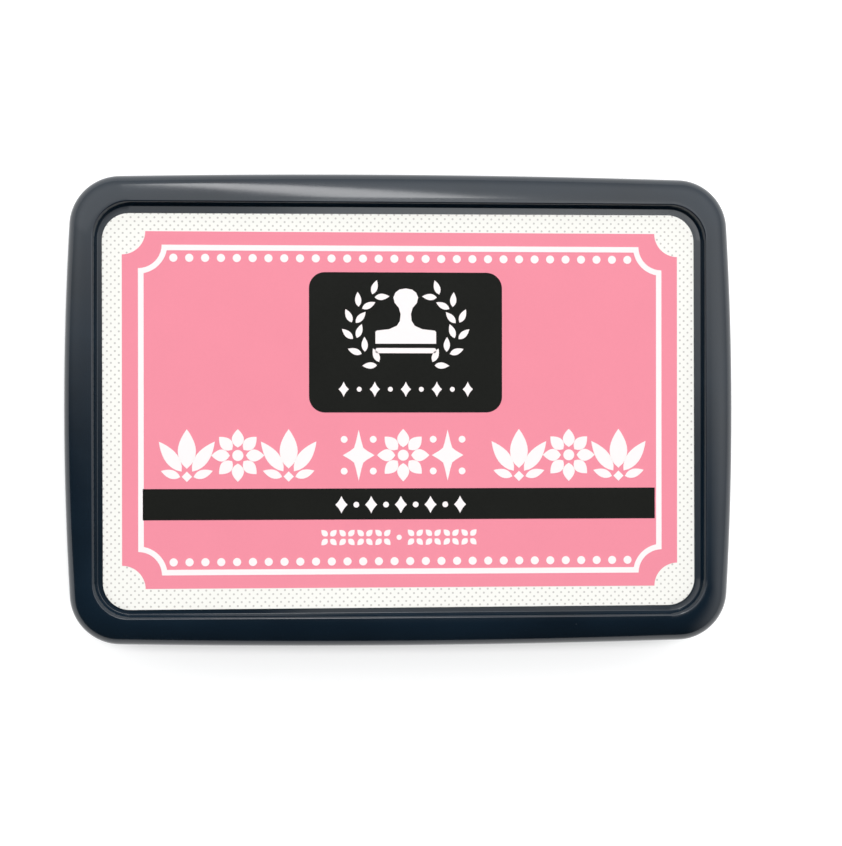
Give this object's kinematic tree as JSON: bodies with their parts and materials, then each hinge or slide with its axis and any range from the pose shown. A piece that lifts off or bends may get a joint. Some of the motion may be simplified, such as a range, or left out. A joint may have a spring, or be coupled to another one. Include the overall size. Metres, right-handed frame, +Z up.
{
  "type": "ink pad",
  "caption": "Rectangular craft ink pad: lift-off lid with a rolled rim and recessed label, over a shallow base with a raised, cloth-covered felt pad.",
  "frame": {"origin": "centre of the underside, on the surface the pad stands on", "axes": "+X along the length, to the label's right; +Y across the depth, to the label's top; +Z up, the way the lid lifts"},
  "size_m": [0.098, 0.0692, 0.0195],
  "materials": {
    "case_plastic": "satin moulded",
    "lid_plastic": "satin moulded",
    "frame_plastic": "satin moulded",
    "carrier_plastic": "matte moulded",
    "adhesive_film": "matte film",
    "felt": "dense felt",
    "pad_fabric": "fine plain weave",
    "lid_label_paper": "coated print",
    "base_label_paper": "uncoated print"
  },
  "bodies": {
    "base": {"base_tray": "case_plastic", "base_label": "base_label_paper", "pad_carrier": "carrier_plastic", "pad_adhesive": "adhesive_film", "felt_block": "felt", "pad_cloth": "pad_fabric", "pad_frame": "frame_plastic"},
    "lid": {"lid_shell": "lid_plastic", "lid_label": "lid_label_paper"}
  },
  "joints": [
    {"name": "lid_lift", "type": "slide", "parent": "base", "child": "lid", "axis": [0, 0, 1], "range_m": [0, 0.045]}
  ]
}
